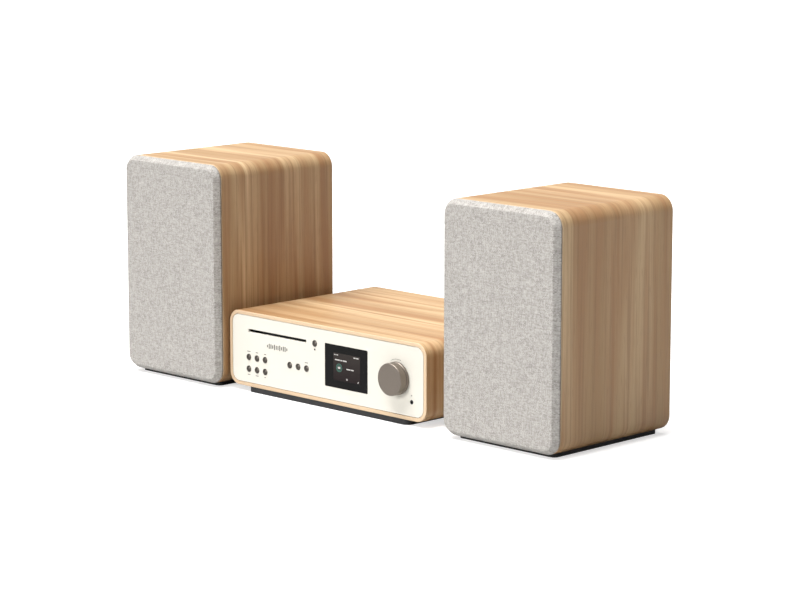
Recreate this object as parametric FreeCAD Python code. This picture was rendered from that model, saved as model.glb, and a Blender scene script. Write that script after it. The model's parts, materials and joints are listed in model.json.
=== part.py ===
import FreeCAD, Part
import math
import os

# A small hi-fi: a wooden-cased player with a disc slot, screen, buttons and a volume knob,
# and two veneered loudspeakers with pull-off cloth grilles. Millimetres. X runs across the
# front from left to right, Y from the front to the back, and Z up. The origin is on the
# surface that the set stands on, under the middle of its overall box.

V = FreeCAD.Vector

# ---------------------------------------------------------------- overall sizes
unit_width = 420.0
unit_height = 123.9
unit_depth = 295.7
unit_corner = 19.7
unit_plinth_height = 8.3
speaker_width = 216.9
speaker_height = 343.1
speaker_depth = 244.9
speaker_corner = 22.6
speaker_plinth_height = 5.5
gap_left = 4.4
gap_right = 48.8
unit_setback = 21.7

# ---------------------------------------------------------------- player case
sleeve_wall = 5.7
sleeve_edge = 1.2
sleeve_inner_edge = 0.5
panel_recess = 0.2
panel_thickness = 4.0
panel_edge = 0.4
panel_gap = 0.6
rear_panel_inset = 1.0
rear_panel_thickness = 2.0
tray_thickness = 1.2
tray_flange = 8.5
unit_plinth_inset_side = 38.0
unit_plinth_inset_front = 1.0
unit_plinth_inset_rear = 20.0
plinth_corner = 12.0
standoff_radius = 3.0
board_thickness = 1.6
board_height = 7.3
screw_radius = 1.5
screw_head_radius = 2.8
screw_head_height = 1.8
fit_gap = 0.05
body_gap = 0.3

# ---------------------------------------------------------------- player front
slot_middle_x = -103.9
slot_length = 127.6
slot_height = 4.6
slot_z = 95.4
slot_lip = 0.8
button_radius = 4.8
button_dome = 1.9
button_rim = 0.6
button_travel = 0.8
button_pitch = 18.2
button_upper_z = 54.0
left_buttons_x = -167.3
middle_buttons_x = -76.2
eject_x = -21.6
eject_z = 94.6
status_lens_radius = 1.5
status_lens_z = 85.5
window_x = 45.1
window_z = 66.4
window_width = 90.0
window_height = 64.5
window_corner = 1.5
window_thickness = 2.0
window_ledge = 3.0
window_gap = 0.15
screen_x = 46.4
screen_z = 66.0
screen_width = 57.6
screen_height = 43.2
screen_frame = 3.4
screen_thickness = 3.2
knob_x = 151.5
knob_z = 67.2
knob_radius = 23.9
knob_skirt_radius = 24.4
knob_stand_out = 16.8
knob_gap = 1.4
knob_skirt_length = 3.4
knob_groove = 0.9
knob_chamfer = 0.7
knob_wall = 2.6
knob_hub_radius = 6.5
shaft_radius = 3.0
bush_radius = 3.6
push_travel = 0.6
jack_x = 180.4
jack_z = 35.9
jack_bore = 1.8
jack_nose_radius = 3.2
jack_depth = 15.0

# ---------------------------------------------------------------- disc deck
deck_wall = 1.5
deck_width = 146.0
deck_front = 16.0
deck_length = 180.0
deck_plate_z = 74.0
deck_roof_z = 106.0
roller_radius = 6.0
roller_axle_radius = 2.0
roller_y = 27.0
spindle_y = 88.0
turntable_radius = 14.0
sled_travel = 34.0
sled_start = 24.0
sled_width = 40.0
sled_length = 26.0
rail_radius = 1.5
rail_offset = 15.0
rail_z = 82.0
screw_drive_radius = 2.0
screw_drive_offset = 26.0
disc_under = 0.6

# ---------------------------------------------------------------- electronics and sockets
main_board_x0 = -22.0
main_board_x1 = 118.0
main_board_y0 = 60.0
power_board_x0 = 126.0
power_board_x1 = 196.0
power_board_y0 = 60.0
phono_radius = 4.1
phono_length = 9.0
socket_collar = 1.4
socket_collar_height = 1.0
phono_bore = 1.65
phono_pitch = 20.0
phono_first_x = 2.0
phono_count = 4
phono_z = 38.0
aerial_x = 96.0
aerial_radius = 4.7
aerial_bore = 0.6
output_socket_bore = 2.0
output_socket_radius = 5.5
output_socket_length = 6.0
output_socket_z = 44.0
output_socket_first_x = -150.0
output_socket_pitch = 19.0
output_pair_gap = 12.0
inlet_x = 160.0
inlet_z = 46.0
inlet_width = 20.4
inlet_height = 9.8
inlet_depth = 13.0
inlet_wall = 2.5

# ---------------------------------------------------------------- loudspeakers
cabinet_wall = 12.0
cabinet_edge = 0.8
baffle_thickness = 18.0
grille_thickness = 10.2
grille_space = 1.5
grille_bevel_inset = 6.67
grille_bevel_depth = 8.6
cloth_thickness = 0.6
grille_rim = 16.0
peg_radius = 3.0
peg_length = 10.0
peg_inset = 14.5
grille_travel = 60.0
speaker_plinth_inset = 17.0
speaker_plinth_rear_inset = 6.0
speaker_plinth_setback = 18.5
speaker_plinth_corner = 8.0
woofer_z = 122.0
woofer_flange_radius = 73.0
woofer_flange = 4.0
basket_mouth = 56.0
basket_wall = 2.2
basket_depth = 47.0
magnet_radius = 42.0
magnet_thickness = 21.0
pole_radius = 11.8
coil_gap = 13.6
cone_radius = 49.6
cone_depth = 25.0
cone_thickness = 0.9
dust_cap_radius = 20.0
surround_thickness = 0.8
surround_roll = 4.2
cone_travel = 3.0
tweeter_z = 256.0
tweeter_flange_radius = 47.0
tweeter_body_radius = 34.0
tweeter_dome_radius = 12.7
driver_gap = 0.3
terminal_z = 95.0
terminal_pitch = 19.0
terminal_plate_width = 78.0
terminal_plate_height = 46.0
terminal_plate = 2.5

# ---------------------------------------------------------------- places that follow from the sizes
overall_width = 2 * speaker_width + gap_left + unit_width + gap_right
overall_depth = unit_setback + unit_depth - rear_panel_inset + phono_length
front_y = -overall_depth / 2
left_x = -overall_width / 2 + speaker_width / 2
unit_x = -overall_width / 2 + speaker_width + gap_left + unit_width / 2
right_x = overall_width / 2 - speaker_width / 2
unit_y = front_y + unit_setback
panel_face = unit_y + panel_recess
panel_back = panel_face + panel_thickness
rear_face = unit_y + unit_depth - rear_panel_inset
rear_inside = rear_face - rear_panel_thickness
inner_width = unit_width - 2 * sleeve_wall
inner_floor = unit_plinth_height + sleeve_wall
inner_roof = unit_height - sleeve_wall
tray_top = inner_floor + tray_thickness
board_z = tray_top + board_height
button_board_y = panel_back + 8.2
switch_face = button_board_y - 3.2
deck_x = unit_x + slot_middle_x
knob_axis_x = unit_x + knob_x
roller_z = slot_z - disc_under - roller_radius
spindle_at_y = unit_y + spindle_y
sled_y = spindle_at_y + sled_start
baffle_y = front_y + grille_thickness + grille_space

LEFT_BUTTON_NAMES = [
    ["power_button", "source_button", "favourite_button"],
    ["info_button", "menu_button", "back_button"],
]
MIDDLE_BUTTON_NAMES = ["previous_button", "play_button", "next_button"]


# ---------------------------------------------------------------- plain shapes
def box(x0, x1, y0, y1, z0, z1):
    return Part.makeBox(x1 - x0, y1 - y0, z1 - z0, V(x0, y0, z0))


def rod(x, y, z, direction, radius, length):
    return Part.makeCylinder(radius, length, V(x, y, z), V(*direction))


def rod_back(x, z, radius, y0, y1):
    """A round bar along the depth, from y0 to y1."""
    return rod(x, y0, z, (0, 1, 0), radius, y1 - y0)


def fuse(shapes):
    whole = shapes[0]
    for shape in shapes[1:]:
        whole = whole.fuse(shape)
    return whole.removeSplitter()


def cut(shape, tools):
    for tool in tools:
        shape = shape.cut(tool)
    return shape


def rounded_wire(x_mid, z_low, width, height, radius, y):
    """A rectangle with round corners, standing upright at depth y."""
    x0 = x_mid - width / 2
    x1 = x_mid + width / 2
    z1 = z_low + height
    bow = radius * (1 - math.sqrt(0.5))

    def line(a, b):
        return Part.LineSegment(V(a[0], y, a[1]), V(b[0], y, b[1])).toShape()

    def arc(a, m, b):
        return Part.Arc(V(a[0], y, a[1]), V(m[0], y, m[1]), V(b[0], y, b[1])).toShape()

    low = z_low
    return Part.Wire([
        line((x0 + radius, low), (x1 - radius, low)),
        arc((x1 - radius, low), (x1 - bow, low + bow), (x1, low + radius)),
        line((x1, low + radius), (x1, z1 - radius)),
        arc((x1, z1 - radius), (x1 - bow, z1 - bow), (x1 - radius, z1)),
        line((x1 - radius, z1), (x0 + radius, z1)),
        arc((x0 + radius, z1), (x0 + bow, z1 - bow), (x0, z1 - radius)),
        line((x0, z1 - radius), (x0, low + radius)),
        arc((x0, low + radius), (x0 + bow, low + bow), (x0 + radius, low)),
    ])


def rounded_bar(x_mid, z_low, width, height, radius, y0, y1):
    """A bar along the depth whose section is a rectangle with round corners."""
    wire = rounded_wire(x_mid, z_low, width, height, radius, y0)
    return Part.Face(wire).extrude(V(0, y1 - y0, 0))


def rounded_plate(x_mid, width, y0, y1, radius, z0, z1):
    """A lying plate with round corners seen from above."""
    plate = box(x_mid - width / 2, x_mid + width / 2, y0, y1, z0, z1)
    upright = [e for e in plate.Edges if abs(e.tangentAt(e.FirstParameter).z) > 0.9]
    return plate.makeFillet(radius, upright)


def rim(shape, y, outside):
    """The edges round the outside, or round the openings, of the flat end at depth y."""
    ends = [f for f in shape.Faces if max(abs(f.BoundBox.YMin - y), abs(f.BoundBox.YMax - y)) < 0.001]
    edges = []
    for end in ends:
        for wire in end.Wires:
            if wire.isSame(end.OuterWire) == outside:
                edges += wire.Edges
    return edges


def turned(x, y, z, profile):
    """A solid of revolution about a line along the depth through (x, y, z).

    Each step of the profile is (radius, depth), or (radius, depth, through_radius,
    through_depth) for an arc that passes through the second point on its way there.
    """
    def at(radius, depth):
        return V(x + radius, y + depth, z)

    edges = []
    steps = profile + [profile[0][:2]]
    here = at(*steps[0][:2])
    for step in steps[1:]:
        there = at(step[0], step[1])
        if len(step) == 4:
            edges.append(Part.Arc(here, at(step[2], step[3]), there).toShape())
        else:
            edges.append(Part.LineSegment(here, there).toShape())
        here = there
    return Part.Face(Part.Wire(edges)).revolve(V(x, y, z), V(0, 1, 0), 360)


def around(count, radius, x_mid, z_mid, first_angle):
    """Evenly spaced places (x, z) on a circle."""
    places = []
    for number in range(count):
        angle = math.radians(first_angle + number * 360.0 / count)
        places.append((x_mid + radius * math.cos(angle), z_mid + radius * math.sin(angle)))
    return places


def pan_screw(x, y, z, direction, length):
    """A screw whose head sits on (x, y, z) and whose shank runs along direction."""
    head = rod(x, y, z, [-d for d in direction], screw_head_radius, screw_head_height)
    return fuse([head, rod(x, y, z, direction, screw_radius, length)])


# ---------------------------------------------------------------- where the player's screws go
def plinth_screw_places():
    side = unit_width / 2 - unit_plinth_inset_side - 22
    return [(unit_x + s * side, unit_y + y) for s in (-1, 1) for y in (45, unit_depth - 60)]


def rear_screw_places():
    z = tray_top + tray_flange / 2
    return [(unit_x + x, z) for x in (-180, -60, 60, 120, 188)]


def front_screw_places():
    z = tray_top + tray_flange / 2 - 1
    return [(unit_x + x, z) for x in (-110, 0, 110)]


def board_screw_places():
    places = [(-180, 45), (-103, 36), (-28, 36), (108, 96), (190, 96), (100, 32), (-6, 104)]
    return [(unit_x + x, z) for x, z in places]


def plinth_screws():
    head_z = unit_plinth_height - 4.0
    return [pan_screw(x, y, head_z, (0, 0, 1), tray_top + 2 - head_z) for x, y in plinth_screw_places()]


def rear_screws():
    return [pan_screw(x, rear_face, z, (0, -1, 0), 7) for x, z in rear_screw_places()]


def front_screws():
    head_y = panel_back + tray_thickness
    return [pan_screw(x, head_y, z, (0, -1, 0), tray_thickness + 3) for x, z in front_screw_places()]


def board_screws():
    head_y = button_board_y + board_thickness
    return [pan_screw(x, head_y, z, (0, -1, 0), board_thickness + 6) for x, z in board_screw_places()]


def unit_screws():
    return plinth_screws() + rear_screws() + front_screws() + board_screws()


# ---------------------------------------------------------------- player case
def unit_cabinet():
    """The veneered sleeve, open at the front and the back, with softened edges."""
    rear = unit_y + unit_depth
    outer = rounded_bar(unit_x, unit_plinth_height, unit_width, unit_height - unit_plinth_height,
                        unit_corner, unit_y, rear)
    inner = rounded_bar(unit_x, inner_floor, inner_width, inner_roof - inner_floor,
                        unit_corner - sleeve_wall, unit_y, rear)
    sleeve = outer.cut(inner)
    sleeve = sleeve.makeFillet(sleeve_edge, rim(sleeve, unit_y, True) + rim(sleeve, rear, True))
    sleeve = sleeve.makeFillet(sleeve_inner_edge, rim(sleeve, unit_y, False))
    return cut(sleeve, plinth_screws())


def unit_plinth():
    """The low black base that the player stands on."""
    plate = rounded_plate(unit_x, unit_width - 2 * unit_plinth_inset_side,
                          unit_y + unit_plinth_inset_front, unit_y + unit_depth - unit_plinth_inset_rear,
                          plinth_corner, 0, unit_plinth_height)
    head_z = unit_plinth_height - 4.0
    pockets = [rod(x, y, 0, (0, 0, 1), screw_head_radius + body_gap, head_z) for x, y in plinth_screw_places()]
    return cut(plate, pockets + plinth_screws())


def base_tray():
    """The folded steel tray: floor, front and rear flanges, and standoffs under the boards."""
    half = inner_width / 2 - (unit_corner - sleeve_wall)
    floor = box(unit_x - half, unit_x + half, panel_back, rear_inside, inner_floor, tray_top)
    front = box(unit_x - half, unit_x + half, panel_back, panel_back + tray_thickness,
                inner_floor, tray_top + tray_flange)
    rear = box(unit_x - half, unit_x + half, rear_inside - tray_thickness, rear_inside,
               inner_floor, tray_top + tray_flange)
    posts = []
    for x0, x1, y0 in ((main_board_x0, main_board_x1, main_board_y0),
                       (power_board_x0, power_board_x1, power_board_y0)):
        for x in (x0 + 6, x1 - 6):
            for y in (y0 + 6, unit_depth - 46):
                posts.append(rod(unit_x + x, unit_y + y, tray_top - 0.5, (0, 0, 1), standoff_radius, board_height + 0.5))
    posts = [p for p in posts if p.BoundBox.XMax < unit_x + half] + [
        rod(unit_x + half - 8, unit_y + y, tray_top - 0.5, (0, 0, 1), standoff_radius, board_height + 0.5)
        for y in (power_board_y0 + 6, unit_depth - 46)]
    tray = fuse([floor, front, rear] + posts)
    return cut(tray, plinth_screws() + rear_screws() + front_screws())


def panel_outline(y0, y1):
    return rounded_bar(unit_x, inner_floor + panel_gap, inner_width - 2 * panel_gap,
                       inner_roof - inner_floor - 2 * panel_gap, unit_corner - sleeve_wall - panel_gap, y0, y1)


def button_places():
    """Every button's name and its place on the panel."""
    places = {}
    for row, names in enumerate(LEFT_BUTTON_NAMES):
        for column, name in enumerate(names):
            places[name] = (unit_x + left_buttons_x + column * button_pitch, button_upper_z - row * button_pitch)
    for column, name in enumerate(MIDDLE_BUTTON_NAMES):
        places[name] = (unit_x + middle_buttons_x + column * button_pitch, button_upper_z)
    places["eject_button"] = (unit_x + eject_x, eject_z)
    return places


def slot_lip_wedge():
    """The bevel that widens the slot's lower edge at the panel's face."""
    z = slot_z - slot_height / 2
    x0 = deck_x - slot_length / 2
    corners = [V(x0, panel_face, z), V(x0, panel_face, z - slot_lip), V(x0, panel_face + 2 * slot_lip, z)]
    return Part.Face(Part.makePolygon(corners + corners[:1])).extrude(V(slot_length, 0, 0))


def front_panel():
    """The moulded front: slot, window seat, button holes, knob and headphone holes, bosses."""
    panel = panel_outline(panel_face, panel_back)
    panel = panel.makeFillet(panel_edge, rim(panel, panel_face, True))
    bosses = [rod_back(x, z, 3.4, panel_back - 1, button_board_y) for x, z in board_screw_places()]
    panel = fuse([panel] + bosses)
    holes = [box(deck_x - slot_length / 2, deck_x + slot_length / 2, panel_face - 1, panel_back + 1,
                 slot_z - slot_height / 2, slot_z + slot_height / 2), slot_lip_wedge()]
    for x, z in button_places().values():
        holes.append(rod_back(x, z, button_radius + body_gap, panel_face - 1, panel_back + 1))
    seat = window_gap * 2
    holes.append(rounded_bar(unit_x + window_x, window_z - window_height / 2 - window_gap,
                             window_width + seat, window_height + seat, window_corner,
                             panel_face - 1, panel_face + window_thickness))
    holes.append(box(unit_x + window_x - window_width / 2 + window_ledge,
                     unit_x + window_x + window_width / 2 - window_ledge, panel_face, panel_back + 1,
                     window_z - window_height / 2 + window_ledge, window_z + window_height / 2 - window_ledge))
    holes.append(rod_back(knob_axis_x, knob_z, bush_radius + window_gap, panel_face - 1, panel_back + 1))
    holes.append(rod_back(unit_x + jack_x, jack_z, jack_nose_radius + window_gap, panel_face - 1, panel_back + 1))
    holes.append(rod_back(unit_x + eject_x, status_lens_z, status_lens_radius + fit_gap,
                          panel_face - 1, panel_back + 1))
    return cut(panel, holes + front_screws() + board_screws())


def rear_panel():
    """The steel back, with holes for every socket and rows of air slots."""
    panel = panel_outline(rear_inside, rear_face)
    holes = []
    for x, radius, bore in round_sockets():
        holes.append(rod_back(x, phono_z, radius + socket_collar + window_gap, rear_inside - 1, rear_face + 1))
    for x in output_socket_places():
        holes.append(rod_back(x, output_socket_z, output_socket_radius + window_gap, rear_inside - 1, rear_face + 1))
    wide = inlet_width / 2 + inlet_wall + window_gap
    tall = inlet_height / 2 + inlet_wall + window_gap
    holes.append(box(unit_x + inlet_x - wide, unit_x + inlet_x + wide, rear_inside - 1, rear_face + 1,
                     inlet_z - tall, inlet_z + tall))
    for number in range(16):
        x = unit_x - 40 + number * 9
        holes.append(box(x, x + 3, rear_inside - 1, rear_face + 1, inner_roof - 34, inner_roof - 12))
    return cut(panel, holes + rear_screws())


# ---------------------------------------------------------------- player front fittings
def display_window():
    """The black glass pane, flush with the panel."""
    return rounded_bar(unit_x + window_x, window_z - window_height / 2, window_width, window_height,
                       window_corner, panel_face, panel_face + window_thickness)


def display_module():
    """The screen behind the pane, with its metal frame and its lead to the button board."""
    back = panel_face + window_thickness + 0.1
    width = screen_width + 2 * screen_frame
    height = screen_height + 2 * screen_frame
    frame = box(unit_x + screen_x - width / 2, unit_x + screen_x + width / 2, back, back + screen_thickness,
                screen_z - height / 2, screen_z + height / 2)
    tail = box(unit_x + screen_x - 12, unit_x + screen_x + 12, back + screen_thickness - 0.5, button_board_y,
               screen_z - height / 2 + 4, screen_z - height / 2 + 7)
    return fuse([frame, tail])


def status_lens():
    """The clear pin that carries a lamp's light from the board to the panel."""
    return rod_back(unit_x + eject_x, status_lens_z, status_lens_radius, panel_face, button_board_y)


def headphone_socket():
    nose = rod_back(unit_x + jack_x, jack_z, jack_nose_radius, panel_face, panel_back + 1)
    body = box(unit_x + jack_x - 5, unit_x + jack_x + 5, panel_back, panel_face + jack_depth + 1.5,
               jack_z - 4.5, jack_z + 4.5)
    bore = rod_back(unit_x + jack_x, jack_z, jack_bore, panel_face - 1, panel_face + jack_depth)
    return fuse([nose, body]).cut(bore)


def front_board():
    """The board behind the panel with a switch under each button; it leaves the disc's path open."""
    y0 = button_board_y
    y1 = y0 + board_thickness
    low = box(unit_x - 186, unit_x - 33, y0, y1, 25, 63)
    high = box(unit_x - 33.5, unit_x + 196, y0, y1, 25, 110)
    switches = [box(x - 3, x + 3, switch_face, y0 + 0.5, z - 3, z + 3) for x, z in button_places().values()]
    board = fuse([low, high] + switches)
    jack_hole = box(unit_x + jack_x - 5.3, unit_x + jack_x + 5.3, y0 - 1, y1 + 1, jack_z - 4.8, jack_z + 4.8)
    return cut(board, [jack_hole] + board_screws())


def push_button(x, z):
    """A domed metal cap on a flanged stem that presses the switch behind it."""
    flange = panel_back + body_gap
    stem_end = switch_face - button_travel - 0.2
    sphere = (button_radius ** 2 + (button_dome - button_rim) ** 2) / (2 * (button_dome - button_rim))
    half = button_radius / 2
    half_depth = -button_dome + sphere - math.sqrt(sphere ** 2 - half ** 2)
    f = flange - panel_face
    profile = [(0, -button_dome), (button_radius, -button_rim, half, half_depth), (button_radius, f),
               (button_radius + 1.1, f), (button_radius + 1.1, f + 1.1), (2, f + 1.1),
               (2, stem_end - panel_face), (0, stem_end - panel_face)]
    return turned(x, panel_face, z, profile)


def encoder_body():
    """The rotary control's housing, with the threaded bush that comes through the panel."""
    body = box(knob_axis_x - 7, knob_axis_x + 7, panel_back + 0.4, button_board_y, knob_z - 7, knob_z + 7)
    bush = rod_back(knob_axis_x, knob_z, bush_radius, panel_face, panel_back + 1)
    bore = rod_back(knob_axis_x, knob_z, shaft_radius + fit_gap, panel_face - 1, panel_back + 6.5)
    return fuse([body, bush]).cut(bore)


def encoder_shaft():
    """The steel shaft, which moves in when the knob is pressed."""
    end = panel_back + 6.5 - push_travel - 0.3
    return rod_back(knob_axis_x, knob_z, shaft_radius, panel_face - knob_stand_out + 5, end)


def volume_knob():
    """The turned aluminium knob: bright front edge, groove, wider skirt, hollow back."""
    length = knob_stand_out - knob_gap
    skirt = length - knob_skirt_length
    bore_end = 4.6
    profile = [(0, 0), (knob_radius - knob_chamfer, 0), (knob_radius, knob_chamfer),
               (knob_radius, skirt - 1.2), (knob_radius - knob_groove, skirt - 0.9),
               (knob_radius - knob_groove, skirt), (knob_skirt_radius - 0.8, skirt),
               (knob_skirt_radius, skirt + 0.8), (knob_skirt_radius, length),
               (knob_radius - knob_wall, length), (knob_radius - knob_wall, knob_wall + 1),
               (knob_hub_radius, knob_wall + 1), (knob_hub_radius, length),
               (shaft_radius + fit_gap, length), (shaft_radius + fit_gap, bore_end), (0, bore_end)]
    return turned(knob_axis_x, panel_face - knob_stand_out, knob_z, profile)


# ---------------------------------------------------------------- disc deck
def deck_frame():
    """The folded deck: floor, side walls, roof, four legs, and the sled's rails in their lugs."""
    x0 = deck_x - deck_width / 2
    x1 = deck_x + deck_width / 2
    y0 = unit_y + deck_front
    y1 = y0 + deck_length
    top = deck_plate_z + 2
    floor = box(x0, x1, y0, y1, deck_plate_z, top)
    walls = [box(x0, x0 + deck_wall, y0, y1, deck_plate_z, deck_roof_z),
             box(x1 - deck_wall, x1, y0, y1, deck_plate_z, deck_roof_z)]
    roof = box(x0, x1, y0, y1, deck_roof_z - deck_wall, deck_roof_z)
    back = box(x0, x1, y1 - deck_wall, y1, deck_plate_z, deck_roof_z)
    legs = [box(x, x + 8, y, y + 8, tray_top, deck_plate_z + 0.5)
            for x in (x0 + 6, x1 - 14) for y in (y0 + 14, y1 - 10)]
    lug_front = spindle_at_y + 4
    lug_back = sled_y + sled_length / 2 + sled_travel + 6
    lugs = []
    rails = []
    for side in (-1, 1):
        x = deck_x + side * rail_offset
        for y in (lug_front, lug_back):
            lugs.append(box(x - 3, x + 3, y, y + 3, top - 0.5, rail_z + 3))
        rails.append(rod_back(x, rail_z, rail_radius, lug_front + 1, lug_back + 2))
    x = deck_x + screw_drive_offset
    for y in (lug_front, lug_back):
        lugs.append(box(x - 3.5, x + 3.5, y, y + 3, top - 0.5, rail_z + 3.5))
    frame = fuse([floor, roof, back] + walls + legs + lugs + rails)
    shaft_hole = rod(deck_x, spindle_at_y, deck_plate_z - 1, (0, 0, 1), 5, 4)
    drive_hole = rod_back(x, rail_z, screw_drive_radius + fit_gap, lug_front - 1, lug_back + 4)
    axle_hole = rod(x0 - 1, unit_y + roller_y, roller_z, (1, 0, 0), roller_axle_radius + fit_gap, deck_width + 2)
    return cut(frame, [shaft_hole, drive_hole, axle_hole])


def deck_motors():
    """The spindle, sled and loading motors."""
    spindle = rod(deck_x, spindle_at_y, deck_plate_z - 14, (0, 0, 1), 13, 14)
    spindle = spindle.cut(rod(deck_x, spindle_at_y, deck_plate_z - 9, (0, 0, 1), 1.5 + fit_gap, 12))
    y = sled_y + sled_length / 2 + sled_travel + 10.5
    x = deck_x + screw_drive_offset
    sled = box(x - 6, x + 6, y, y + 20, deck_plate_z + 2, rail_z + 6)
    sled = sled.cut(rod_back(x, rail_z, 1 + fit_gap, y - 1, y + 6))
    wall = deck_x + deck_width / 2
    loading = box(wall, wall + 20, unit_y + roller_y - 7, unit_y + roller_y + 7, roller_z - 7, roller_z + 7)
    loading = loading.cut(rod(wall - 1, unit_y + roller_y, roller_z, (1, 0, 0), roller_axle_radius + fit_gap, 8))
    return [spindle, sled, loading]


def disc_hub():
    """The turntable that the disc sits on, with its centring nose and motor shaft."""
    seat = slot_z - disc_under
    table = rod(deck_x, spindle_at_y, seat - 4, (0, 0, 1), turntable_radius, 4)
    nose = Part.makeCone(7.3, 5.5, 2.6, V(deck_x, spindle_at_y, seat - 0.1), V(0, 0, 1))
    shaft = rod(deck_x, spindle_at_y, deck_plate_z - 8, (0, 0, 1), 1.5, seat - 3 - deck_plate_z + 8)
    return fuse([table, nose, shaft])


def laser_sled():
    """The optical pick-up: a block on two rails, with its lens and its arm on the screw."""
    x0 = deck_x - sled_width / 2
    block = box(x0, x0 + sled_width, sled_y - sled_length / 2, sled_y + sled_length / 2, rail_z - 4, rail_z + 5)
    arm = box(x0 + sled_width - 1, deck_x + screw_drive_offset + 4, sled_y - 5, sled_y + 5, rail_z - 4, rail_z + 4)
    lens = rod(deck_x, sled_y, rail_z + 4.5, (0, 0, 1), 4, 3.5)
    bores = [rod_back(deck_x + side * rail_offset, rail_z, rail_radius + fit_gap,
                      sled_y - sled_length, sled_y + sled_length) for side in (-1, 1)]
    bores.append(rod_back(deck_x + screw_drive_offset, rail_z, screw_drive_radius + fit_gap,
                          sled_y - sled_length, sled_y + sled_length))
    return cut(fuse([block, arm, lens]), bores)


def lead_screw():
    """The screw that drives the sled, with the thin end that enters its motor."""
    x = deck_x + screw_drive_offset
    y0 = spindle_at_y + 3
    y1 = sled_y + sled_length / 2 + sled_travel + 9.5
    return fuse([rod_back(x, rail_z, screw_drive_radius, y0, y1), rod_back(x, rail_z, 1, y1 - 1, y1 + 6)])


def loading_roller():
    """The rubber roller that draws the disc in, on its steel axle."""
    half = deck_width / 2 - deck_wall - 2
    y = unit_y + roller_y
    sleeve = rod(deck_x - half, y, roller_z, (1, 0, 0), roller_radius, 2 * half)
    axle = rod(deck_x - deck_width / 2, y, roller_z, (1, 0, 0), roller_axle_radius, deck_width + 6)
    return fuse([sleeve, axle])


# ---------------------------------------------------------------- electronics and sockets
def phono_places():
    return [unit_x + phono_first_x + n * phono_pitch for n in range(phono_count)]


def round_sockets():
    """Place, barrel radius and bore radius of the four audio sockets and the aerial socket."""
    sockets = [(x, phono_radius, phono_bore) for x in phono_places()]
    return sockets + [(unit_x + aerial_x, aerial_radius, aerial_bore)]


def output_socket_places():
    first = unit_x + output_socket_first_x
    second = first + output_socket_pitch
    third = second + output_socket_pitch + output_pair_gap
    return [first, second, third, third + output_socket_pitch]


def main_board():
    """The signal board: chips, a power stage and capacitors."""
    x0 = unit_x + main_board_x0
    y0 = unit_y + main_board_y0
    top = board_z + board_thickness
    board = box(x0, unit_x + main_board_x1, y0, rear_inside - 3, board_z, top)
    chips = [box(x0 + x, x0 + x + w, y0 + y, y0 + y + w, top - 0.2, top + 2)
             for x, y, w in ((20, 30, 18), (60, 20, 14), (60, 60, 22), (20, 80, 14))]
    cans = [rod(x0 + 100 + 14 * (n % 2), y0 + 40 + 14 * (n // 2), top - 0.2, (0, 0, 1), 5, 16) for n in range(6)]
    return fuse([board] + chips + cans)


def heatsink():
    """A finned aluminium block that cools the power stage."""
    x0 = unit_x + main_board_x0 + 30
    y0 = unit_y + unit_depth - 62
    z0 = board_z + board_thickness
    base = box(x0, x0 + 80, y0, y0 + 20, z0, z0 + 5)
    fins = [box(x0 + 8.2 * n, x0 + 8.2 * n + 2, y0, y0 + 20, z0 + 4.5, z0 + 45) for n in range(10)]
    return fuse([base] + fins)


def power_board():
    """The mains supply: a board with its transformer and reservoir capacitors."""
    x0 = unit_x + power_board_x0
    y0 = unit_y + power_board_y0
    top = board_z + board_thickness
    board = box(x0, unit_x + power_board_x1, y0, rear_inside - 30, board_z, top)
    transformer = box(x0 + 8, x0 + 58, y0 + 25, y0 + 75, top - 0.2, top + 38)
    cans = [rod(x0 + 16 + 26 * n, y0 + 105, top - 0.2, (0, 0, 1), 11, 32) for n in range(2)]
    return fuse([board, transformer] + cans)


def mains_inlet():
    """The two-pin mains socket in the back."""
    x = unit_x + inlet_x
    wide = inlet_width / 2 + inlet_wall
    tall = inlet_height / 2 + inlet_wall
    shell = box(x - wide, x + wide, rear_face - inlet_depth - 4, rear_face + 0.8, inlet_z - tall, inlet_z + tall)
    ears = box(x - wide - 5, x + wide + 5, rear_inside - 2, rear_inside, inlet_z - tall - 2, inlet_z + tall + 2)
    well = box(x - inlet_width / 2, x + inlet_width / 2, rear_face - inlet_depth, rear_face + 2,
               inlet_z - inlet_height / 2, inlet_z + inlet_height / 2)
    pins = [rod_back(x + s * 4.3, inlet_z, 1.2, rear_face - inlet_depth - 1, rear_face - 3) for s in (-1, 1)]
    return fuse([shell, ears]).cut(well).fuse(pins[0]).fuse(pins[1])


def rear_sockets():
    """Four round audio sockets and the aerial socket, each with a collar that stands off the panel."""
    sockets = []
    top = board_z + board_thickness
    for x, radius, bore_radius in round_sockets():
        body = box(x - 8, x + 8, rear_inside - 18, rear_inside, top, phono_z + 8)
        collar = rod_back(x, phono_z, radius + socket_collar, rear_inside - 1, rear_face + socket_collar_height)
        barrel = rod_back(x, phono_z, radius, rear_face, rear_face + phono_length)
        bore = rod_back(x, phono_z, bore_radius, rear_face - 6, rear_face + phono_length + 1)
        sockets.append(fuse([body, collar, barrel]).cut(bore))
    return sockets


def output_socket(x, z, plate_front, plate_back):
    """An insulated 4 mm socket whose flange clamps on the inside of the panel."""
    body = rod_back(x, z, output_socket_radius + 2.5, plate_front - 10, plate_front)
    barrel = rod_back(x, z, output_socket_radius, plate_front - 1, plate_back + output_socket_length)
    bore = rod_back(x, z, output_socket_bore, plate_front - 8, plate_back + output_socket_length + 1)
    return fuse([body, barrel]).cut(bore)


def speaker_outputs():
    return [output_socket(x, output_socket_z, rear_inside, rear_face) for x in output_socket_places()]


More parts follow.
